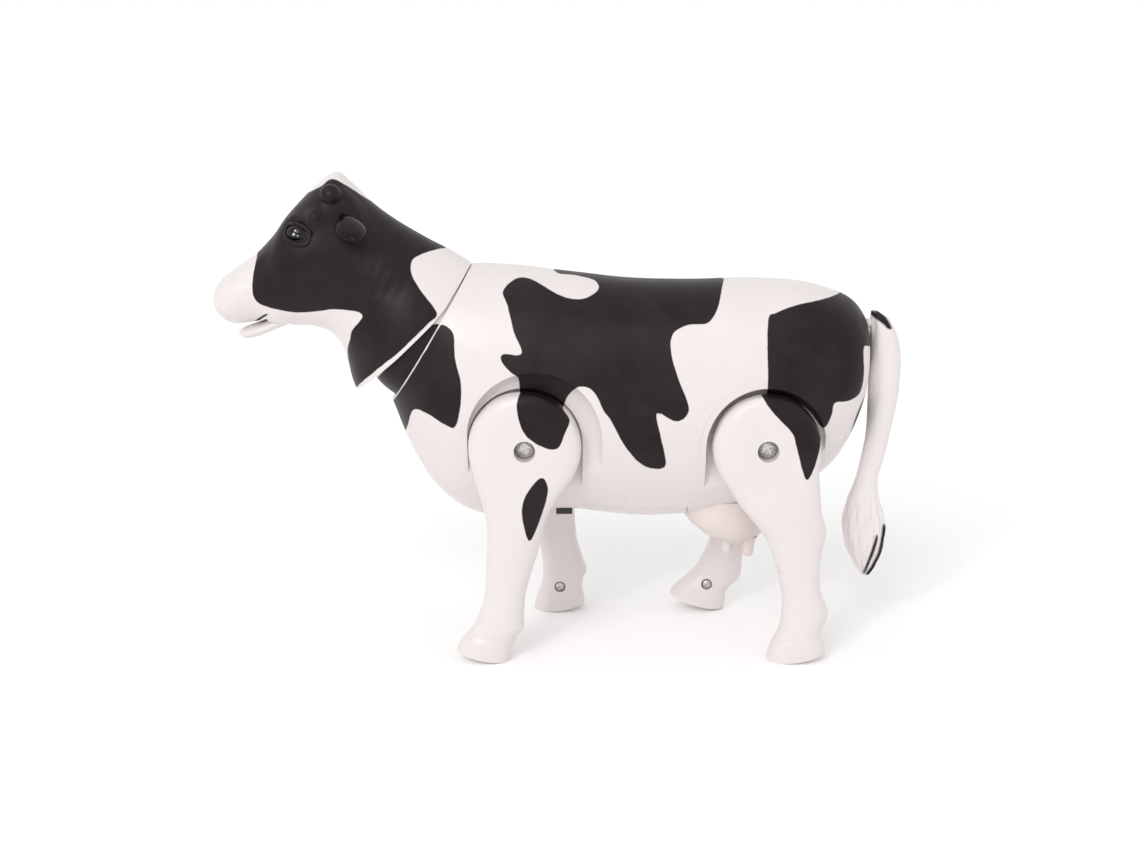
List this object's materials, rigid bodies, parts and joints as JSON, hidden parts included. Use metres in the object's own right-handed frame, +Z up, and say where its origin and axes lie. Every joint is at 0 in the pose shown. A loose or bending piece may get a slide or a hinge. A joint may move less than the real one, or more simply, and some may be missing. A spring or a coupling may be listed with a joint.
{
  "type": "walking toy cow",
  "caption": "Hollow plastic toy cow that walks on swinging legs, with a nodding head, moving jaw, wagging tail and a geared drive inside.",
  "frame": {"origin": "centre of the bounding box's base, on the floor under the feet", "axes": "+X from nose to tail, +Y to the cow's right, +Z up"},
  "size_m": [0.2902, 0.0822, 0.2025],
  "materials": {
    "white_plastic": "semi-gloss moulded",
    "black_plastic": "semi-gloss",
    "udder_plastic": "soft satin",
    "nylon": "natural nylon",
    "frame_plastic": "matte moulded",
    "zinc": "bright zinc plate",
    "steel": "drawn bright",
    "cell_film": "printed film without marks"
  },
  "bodies": {
    "torso": {"torso_left": "white_plastic", "torso_right": "white_plastic", "neck_collar": "white_plastic", "neck_pin": "steel", "udder": "udder_plastic", "battery_door": "white_plastic", "battery_box": "frame_plastic", "battery_left": "cell_film", "battery_right": "cell_film", "contact_front": "zinc", "contact_rear": "zinc", "switch_body": "frame_plastic", "gear_plate_left": "frame_plastic", "gear_plate_right": "frame_plastic", "motor_can": "steel", "first_gear_pin": "steel", "second_gear_pin": "steel", "front_left_hip_screw": "zinc", "rear_left_hip_screw": "zinc", "front_right_hip_screw": "zinc", "rear_right_hip_screw": "zinc"},
    "rotor": {"motor_pinion": "nylon", "motor_rotor": "steel"},
    "first_gear": {"first_gear": "nylon"},
    "second_gear": {"second_gear": "nylon"},
    "crank": {"crank_gear": "nylon", "crank_shaft": "steel", "crank_left": "nylon", "crank_right": "nylon"},
    "head": {"head_left": "white_plastic", "head_right": "white_plastic", "ear_left": "black_plastic", "ear_right": "black_plastic", "neck_arm": "nylon", "jaw_pin": "steel"},
    "jaw": {"lower_jaw": "white_plastic"},
    "tail": {"tail": "white_plastic"},
    "knob": {"power_knob": "black_plastic"},
    "link_left": {"link_left": "nylon"},
    "link_right": {"link_right": "nylon"},
    "front_left_leg": {"front_left_leg_outer": "white_plastic", "front_left_leg_inner": "white_plastic", "front_left_foot_screw": "zinc"},
    "rear_left_leg": {"rear_left_leg_outer": "white_plastic", "rear_left_leg_inner": "white_plastic", "rear_left_foot_screw": "zinc"},
    "front_right_leg": {"front_right_leg_outer": "white_plastic", "front_right_leg_inner": "white_plastic", "front_right_foot_screw": "zinc"},
    "rear_right_leg": {"rear_right_leg_outer": "white_plastic", "rear_right_leg_inner": "white_plastic", "rear_right_foot_screw": "zinc"}
  },
  "joints": [
    {"name": "front_left_hip", "type": "hinge", "parent": "torso", "child": "front_left_leg", "pos_m": [-0.014, 0, 0.09265], "axis": [0, 1, 0], "range_deg": [-20, 0]},
    {"name": "front_right_hip", "type": "hinge", "parent": "torso", "child": "front_right_leg", "pos_m": [-0.014, 0, 0.09265], "axis": [0, 1, 0], "range_deg": [0, 20]},
    {"name": "rear_left_hip", "type": "hinge", "parent": "torso", "child": "rear_left_leg", "pos_m": [0.086, 0, 0.09265], "axis": [0, 1, 0], "range_deg": [0, 20]},
    {"name": "rear_right_hip", "type": "hinge", "parent": "torso", "child": "rear_right_leg", "pos_m": [0.086, 0, 0.09265], "axis": [0, 1, 0], "range_deg": [-20, 0]},
    {"name": "link_left_pivot", "type": "hinge", "parent": "front_left_leg", "child": "link_left", "pos_m": [-0.01608, 0, 0.08083], "axis": [0, 1, 0], "range_deg": [0, 20]},
    {"name": "link_right_pivot", "type": "hinge", "parent": "front_right_leg", "child": "link_right", "pos_m": [-0.01192, 0, 0.08083], "axis": [0, 1, 0], "range_deg": [-20, 0]},
    {"name": "neck_nod", "type": "hinge", "parent": "torso", "child": "head", "pos_m": [-0.0532, 0, 0.13405], "axis": [0, 1, 0], "range_deg": [-12, 0]},
    {"name": "jaw_hinge", "type": "hinge", "parent": "head", "child": "jaw", "pos_m": [-0.1097, 0, 0.14285], "axis": [0, 1, 0], "range_deg": [-9, 0]},
    {"name": "tail_wag", "type": "hinge", "parent": "torso", "child": "tail", "pos_m": [0.13, 0, 0.13815], "axis": [1, 0, 0], "range_deg": [-15, 15]},
    {"name": "knob_slide", "type": "slide", "parent": "torso", "child": "knob", "axis": [-1, 0, 0], "range_m": [0, 0.0025]},
    {"name": "crank_spin", "type": "hinge", "parent": "torso", "child": "crank", "pos_m": [-0.014, 0, 0.10665], "axis": [0, 1, 0], "continuous": true},
    {"name": "second_gear_spin", "type": "hinge", "parent": "torso", "child": "second_gear", "pos_m": [-0.00166, 0, 0.12035], "axis": [0, 1, 0], "continuous": true},
    {"name": "first_gear_spin", "type": "hinge", "parent": "torso", "child": "first_gear", "pos_m": [0.01356, 0, 0.12359], "axis": [0, 1, 0], "continuous": true},
    {"name": "motor_spin", "type": "hinge", "parent": "torso", "child": "rotor", "pos_m": [0.02906, 0, 0.12223], "axis": [0, 1, 0], "continuous": true}
  ],
  "couplings": [
    {"joint": "front_right_hip", "follows": "front_left_hip", "ratio": -1},
    {"joint": "rear_left_hip", "follows": "front_left_hip", "ratio": -1},
    {"joint": "rear_right_hip", "follows": "front_left_hip", "ratio": 1},
    {"joint": "link_left_pivot", "follows": "front_left_hip", "ratio": -1},
    {"joint": "link_right_pivot", "follows": "front_left_hip", "ratio": 1},
    {"joint": "neck_nod", "follows": "front_left_hip", "ratio": 0.6},
    {"joint": "first_gear_spin", "follows": "motor_spin", "ratio": -0.33333},
    {"joint": "second_gear_spin", "follows": "motor_spin", "ratio": 0.11111},
    {"joint": "crank_spin", "follows": "motor_spin", "ratio": -0.02963}
  ]
}
